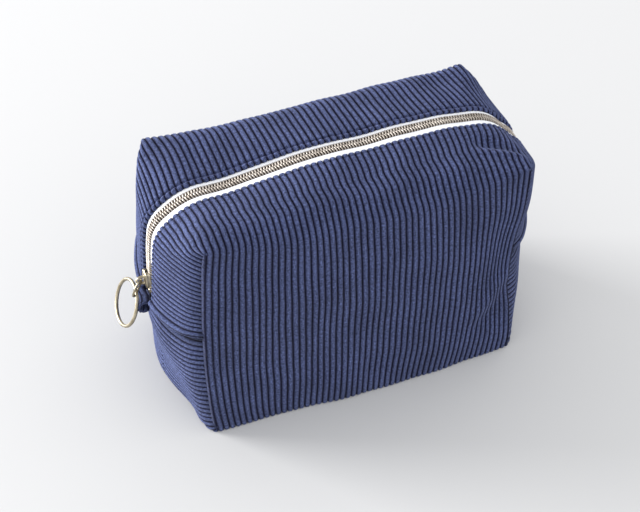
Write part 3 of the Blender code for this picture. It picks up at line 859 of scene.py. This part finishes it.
def make_tab(sign, label):
    """A strip of corduroy folded into a loop in the end seam, open at its front and back ends."""
    low, high = node_span(f"tab_{label}")
    root = high[0] if sign < 0 else low[0]
    tip = low[0] if sign < 0 else high[0]
    middle = 0.5 * (low[2] + high[2])
    half = 0.5 * (high[2] - low[2])
    reach = abs(tip - root)
    t = np.linspace(0.0, 1.0, 73)
    angle = math.pi * (t - 0.5)
    x = reach * np.cos(angle) ** 0.62
    z = half * np.sin(angle)
    across = t * 6.0
    bump = 0.5 * rib(across) - 0.35
    nx, nz = np.cos(angle), np.sin(angle)
    outer = np.stack([x + nx * bump, z + nz * bump], -1)
    inner = np.stack([np.maximum(x - 1.3 * nx, 0.0), z - 1.2 * nz], -1)
    levels = np.linspace(-1.0, 1.0, 25)
    width = 0.5 * (high[1] - low[1])
    # The left loop's front mouth stands out and gapes; the right loop lies flatter.
    stand_out = 1.8 if sign < 0 else 0.0
    shell = Shell()
    for skin, offset in ((outer, 0.0), (inner, 3.0)):
        grid, uv = [], []
        for level in levels:
            front = max(0.0, -level)
            flare = 1.0 + 0.05 * level * level + (0.1 * front if sign < 0 else -0.1)
            droop = -0.5 * level + 0.4 * front
            y = width * level
            if offset == 0.0:
                y -= 0.25 * np.sign(level) * max(0.0, abs(level) - 0.93) / 0.07
            x_out = skin[:, 0] * flare - 0.8 + stand_out * front ** 2
            grid.append(np.stack([root + sign * x_out, np.full(len(t), y),
                                  middle + skin[:, 1] * flare + droop], -1))
            uv.append(np.stack([across + offset, np.full(len(t), y / WALE)], -1))
        index = shell.add_grid(grid, uv, 1.0 if offset == 0.0 else 0.2)
        if offset == 0.0:
            first = index
            shell.faces.append(grid_faces(index))
        else:
            shell.faces.append(grid_faces(index)[:, ::-1])
            for row, turn in ((0, 1), (-1, -1)):
                pair = np.vstack([index[row], first[row]])
                shell.faces.append(grid_faces(pair)[:, ::turn])
            for column, turn in ((0, -1), (-1, 1)):
                pair = np.vstack([index[:, column], first[:, column]])
                shell.faces.append(grid_faces(pair)[:, ::turn])
    points, uv, _, faces = shell.join()
    return new_mesh(f"tab_loop_{label}", points, faces if sign > 0 else faces[:, ::-1], uv)


BINDING_SECTION = round_square(14, 0.35, 0.6)


def make_corner_binding(name, sign_x, sign_y):
    """A bound seam allowance standing into the corner: a flat tape folded over the raw edge."""
    low, high = node_span(name)
    inward = np.array((-sign_x, -sign_y, 0.0)) / math.sqrt(2.0)
    along = np.array((-inward[1], inward[0], 0.0))
    outlines = []
    for z in np.linspace(low[2], high[2], 25):
        w = 2.0 * z / HEIGHT - 1.0
        corner = relief(np.array((sign_x * (half_length(w) - CORNER_BINDING_DEPTH),
                                  sign_y * (half_width(w) - CORNER_BINDING_DEPTH), z)))
        wobble = 0.25 * math.sin(z * 0.23) + 0.12 * math.sin(z * 0.71)
        outlines.append([corner + inward * (3.0 + 3.0 * wide) + along * (0.75 * tall + wobble)
                         for wide, tall in BINDING_SECTION])
    points, faces = stacked(outlines)
    return new_mesh(f"bound_{name}", points, faces)


def make_end_binding(name, sign):
    """The bound seam allowance across the inside of an end."""
    low, high = node_span(name)
    z = 0.5 * (low[2] + high[2])
    w = 2.0 * z / HEIGHT - 1.0
    outlines = []
    for y in np.linspace(low[1], high[1], 33):
        v = y / half_width(w)
        outer = body_points(float(sign), v, w, END_BINDING_DEPTHS[0])
        inner = body_points(float(sign), v, w, END_BINDING_DEPTHS[1])
        section = []
        for wide, tall in BINDING_SECTION:
            spot = outer + (inner - outer) * (0.5 + 0.5 * wide)
            spot[2] = z + 0.8 * tall + 0.15 * math.sin(y * 0.3)
            section.append(spot)
        outlines.append(section)
    points, faces = stacked(outlines)
    return new_mesh(f"bound_{name}", points, faces)


# ---- materials

def node_material(name, base, roughness, metallic=0.0):
    material = bpy.data.materials.new(name)
    material.use_nodes = True
    shader = material.node_tree.nodes["Principled BSDF"]
    shader.inputs["Base Color"].default_value = (*base, 1.0)
    shader.inputs["Roughness"].default_value = roughness
    shader.inputs["Metallic"].default_value = metallic
    return material, material.node_tree, shader


def add_node(tree, kind, inputs, **settings):
    """A shader node with its settings, and with each input given a value or linked to an output."""
    node = tree.nodes.new(f"ShaderNode{kind}")
    for key, value in settings.items():
        setattr(node, key, value)
    for key, value in inputs.items():
        if isinstance(value, bpy.types.NodeSocket):
            tree.links.new(value, node.inputs[key])
        else:
            node.inputs[key].default_value = value
    return node


def math_node(tree, operation, *values):
    return add_node(tree, "Math", dict(enumerate(values)), operation=operation).outputs[0]


def noise_node(tree, vector, scale, detail=2.0, stretch=(1.0, 1.0, 1.0), roughness=0.5):
    mapped = add_node(tree, "Mapping", {0: vector, "Scale": stretch}).outputs[0]
    return add_node(tree, "TexNoise", {"Vector": mapped, "Scale": scale, "Detail": detail,
                                       "Roughness": roughness}).outputs["Fac"]


def uv_axes(tree, layer):
    """A UV layer's vector, and its X and Y."""
    uv = add_node(tree, "UVMap", {}, uv_map=layer).outputs[0]
    split = add_node(tree, "SeparateXYZ", {0: uv})
    return uv, split.outputs[0], split.outputs[1]


def ranged(tree, value, low, high):
    """A noise value spread over low to high."""
    return add_node(tree, "MapRange", {"From Min": 0.3, "From Max": 0.7, "To Min": low, "To Max": high,
                                       "Value": value}).outputs[0]


def scaled(tree, colour, strength):
    return add_node(tree, "VectorMath", {0: colour, "Scale": strength}, operation="SCALE").outputs[0]


def ramp_node(tree, value, stops):
    ramp = add_node(tree, "ValToRGB", {0: value})
    elements = ramp.color_ramp.elements
    elements[0].position, elements[0].color = stops[0][0], (*stops[0][1], 1.0)
    elements[1].position, elements[1].color = stops[-1][0], (*stops[-1][1], 1.0)
    for place, colour in stops[1:-1]:
        elements.new(place).color = (*colour, 1.0)
    return ramp.outputs[0]


def bump_node(tree, shader, height, distance, strength):
    bump = add_node(tree, "Bump", {"Strength": strength, "Distance": distance, "Height": height})
    tree.links.new(bump.outputs[0], shader.inputs["Normal"])


def corduroy_material():
    material, tree, shader = node_material("corduroy_cloth", (0.04, 0.042, 0.09), 0.95)
    shader.inputs["Sheen Weight"].default_value = 0.12
    shader.inputs["Sheen Roughness"].default_value = 0.5
    shader.inputs["Sheen Tint"].default_value = (0.62, 0.66, 0.95, 1.0)
    shader.inputs["Specular IOR Level"].default_value = 0.12
    uv, wale, _ = uv_axes(tree, "cloth")
    across = math_node(tree, "SUBTRACT", math_node(tree, "FRACT", wale), 0.5)
    # The ramp paints shade from each rib's top down its flanks into the groove.
    colour = ramp_node(tree, math_node(tree, "ABSOLUTE", across), (
        (0.0, RIB_COLOUR), (0.24, RIB_FLANK_SHADE), (0.37, GROOVE_EDGE_SHADE), (0.46, GROOVE_SHADE)))
    pile = noise_node(tree, uv, 1.0, 3.0, (6.0, 4.2, 1.0), 0.7)
    twill = noise_node(tree, uv, 1.0, 2.0, (3.2, 2.3, 1.0), 0.6)
    cloud = noise_node(tree, uv, 0.16)
    strength = ranged(tree, pile, 0.3, 1.8)
    # The pile, twill and cloud noises vary the tone at random; the 'shade' layer adds painted shade into the
    # seams and tucks.
    for factor in (ranged(tree, twill, 0.5, 1.55), ranged(tree, cloud, 0.85, 1.15),
                   uv_axes(tree, "shade")[1]):
        strength = math_node(tree, "MULTIPLY", strength, factor)
    tree.links.new(scaled(tree, colour, strength), shader.inputs["Base Color"])
    bump_node(tree, shader, pile, 0.0005, 0.6)
    return material


def woven_material(name, colour, thread, roughness=0.85, shade=0.9):
    """Plain-woven cloth: fine crossing threads, from the object's own coordinates."""
    material, tree, shader = node_material(name, colour, roughness)
    shader.inputs["Specular IOR Level"].default_value = 0.25
    place = add_node(tree, "TexCoord", {}).outputs["Object"]
    waves = [add_node(tree, "TexWave", {"Scale": 0.314 / thread, "Vector": place},
                      bands_direction=axis).outputs["Fac"] for axis in "XYZ"]
    weave = math_node(tree, "MAXIMUM", math_node(tree, "MAXIMUM", *waves[:2]), waves[2])
    fuzz = noise_node(tree, place, 0.5 / thread)
    strength = math_node(tree, "MULTIPLY", ranged(tree, fuzz, shade, 2.0 - shade),
                         ranged(tree, weave, 0.97, 1.01))
    tint = tree.nodes.new("ShaderNodeRGB").outputs[0]
    tint.default_value = (*colour, 1.0)
    tree.links.new(scaled(tree, tint, strength), shader.inputs["Base Color"])
    bump_node(tree, shader, weave, 0.2 * thread, 0.5)
    return material


def tape_material():
    """White woven tape, darkened with painted shade under the teeth, where it shows between them."""
    material, tree, shader = node_material("zip_tape_weave", (0.9, 0.9, 0.89), 0.85)
    shader.inputs["Specular IOR Level"].default_value = 0.25
    uv, _, across = uv_axes(tree, "cloth")
    share = math_node(tree, "DIVIDE", across, TAPE_OUTER)
    colour = ramp_node(tree, share, ((0.0, TAPE_SHADE_UNDER_TEETH), (3.0 / TAPE_OUTER, TAPE_SHADE_UNDER_TEETH),
                                     (3.4 / TAPE_OUTER, TAPE_COLOUR)))
    threads = noise_node(tree, uv, 1.0, 2.0, (1.6, 5.0, 1.0))
    tree.links.new(scaled(tree, colour, ranged(tree, threads, 0.93, 1.05)), shader.inputs["Base Color"])
    wave = add_node(tree, "TexWave", {"Scale": 0.5, "Vector": uv})
    bump_node(tree, shader, wave.outputs["Fac"], 0.0001, 0.4)
    return material


def metal_material(name, pale, dark, roughness, metallic, scale):
    """A plated metal, mottled at random between a pale and a darker colour."""
    material, tree, shader = node_material(name, pale, roughness, metallic)
    place = add_node(tree, "TexCoord", {}).outputs["Object"]
    spots = noise_node(tree, place, scale, 3.0)
    tree.links.new(ramp_node(tree, spots, ((0.3, dark), (0.62, pale))), shader.inputs["Base Color"])
    fine = noise_node(tree, place, 8.0 * scale)
    tree.links.new(ranged(tree, fine, roughness - 0.06, roughness + 0.1), shader.inputs["Roughness"])
    bump_node(tree, shader, fine, 0.00004, 0.3)
    return material


# ---- the stage

def make_stage():
    bpy.ops.mesh.primitive_plane_add(size=8.0, location=(0, 0, 0))
    floor = bpy.context.object
    floor.name = "floor"
    material, _, shader = node_material("floor_paint", FLOOR_COLOUR, 0.9)
    shader.inputs["Specular IOR Level"].default_value = 0.1
    floor.data.materials.append(material)
    world = bpy.data.worlds.new("studio")
    scene = bpy.context.scene
    scene.world = world
    scene.view_settings.view_transform = "Standard"
    world.use_nodes = True
    background = world.node_tree.nodes["Background"]
    background.inputs[0].default_value = (*SKY_COLOUR, 1.0)
    background.inputs[1].default_value = SKY_STRENGTH
    light = bpy.data.lights.new("key", "AREA")
    light.energy = KEY_POWER
    light.size = KEY_SIZE
    lamp = bpy.data.objects.new("key", light)
    scene.collection.objects.link(lamp)
    lamp.location = KEY_PLACE
    aim = Vector((0, 0, 0.06)) - Vector(KEY_PLACE)
    lamp.rotation_euler = aim.to_track_quat("-Z", "Y").to_euler()


def make_camera():
    data = bpy.data.cameras.new("camera")
    data.sensor_width = 36.0
    data.lens = CAMERA_LENS
    data.clip_start = 0.01
    camera = bpy.data.objects.new("camera", data)
    bpy.context.scene.collection.objects.link(camera)
    right, up = Vector(CAMERA_RIGHT), Vector(CAMERA_UP)
    turn = Matrix((right, up, right.cross(up))).transposed().to_4x4()
    camera.matrix_world = Matrix.Translation(CAMERA_PLACE) @ turn
    bpy.context.scene.camera = camera


# ---- putting it together

def finish_piece(item, material, nodes, body=None, side=0):
    """Give a piece its material and hide the CAD nodes it stands for; a piece on a side of the zip has its
    place baked in, any other is tied to the body it moves with.
    """
    item.data.materials.clear()
    item.data.materials.append(material)
    if side:
        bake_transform(item)
    else:
        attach(item, body)
    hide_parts(*nodes)


def main():
    make_camera()
    make_stage()
    corduroy = corduroy_material()
    lining = woven_material("lining_cotton", LINING_COLOUR, 0.0005)
    tape = tape_material()
    binding = woven_material("binding_tape", BINDING_COLOUR, 0.0006)
    thread = woven_material("thread_twist", THREAD_COLOUR, 0.0004, 0.6)
    coil = metal_material("coil_plating", *COIL_COLOURS, 0.4, 0.75, 300.0)
    brass = metal_material("pale_brass", *BRASS_COLOURS, 0.36, 1.0, 260.0)
    for side, label in ((-1, "front"), (1, "back")):
        finish_piece(make_cloth(side, label), corduroy,
                     (f"outer_{label}_lower", f"outer_{label}_upper"), side=side)
        finish_piece(make_lining(side, label), lining,
                     (f"lining_{label}_lower", f"lining_{label}_upper"), side=side)
        finish_piece(make_tape(side, label), tape, (f"zip_tape_{label}",), side=side)
        finish_piece(make_coil(side, label), coil, (f"zip_coil_{label}",), side=side)
        finish_piece(make_stitches(side, label), thread, (f"topstitch_{label}",), side=side)
        name = f"top_stop_{label}"
        finish_piece(make_stop(f"clip_{name}", *node_span(name)), brass, (name,), "pouch")
    name = "bottom_stop"
    finish_piece(make_stop(f"clip_{name}", *node_span(name)), brass, (name,), "pouch")
    for sign, label in ((-1, "left"), (1, "right")):
        finish_piece(make_tab(sign, label), corduroy, (f"tab_{label}",), "pouch")
        name = f"end_seam_binding_{label}"
        finish_piece(make_end_binding(name, sign), binding, (name,), "pouch")
        for side, side_label in ((-1, "front"), (1, "back")):
            name = f"corner_binding_{label}_{side_label}_lower"
            finish_piece(make_corner_binding(name, sign, side), binding, (name,), "pouch")
            name = f"corner_binding_{label}_{side_label}_upper"
            finish_piece(make_corner_binding(name, sign, side), binding, (name,), side=side)
    bridge, link, ring = make_pull()
    finish_piece(make_slider(), brass, ("slider_body",), "slider")
    finish_piece(bridge, brass, ("slider_bridge",), "slider")
    finish_piece(link, brass, ("pull_link",), "link")
    finish_piece(ring, brass, ("pull_ring",), "ring")


main()
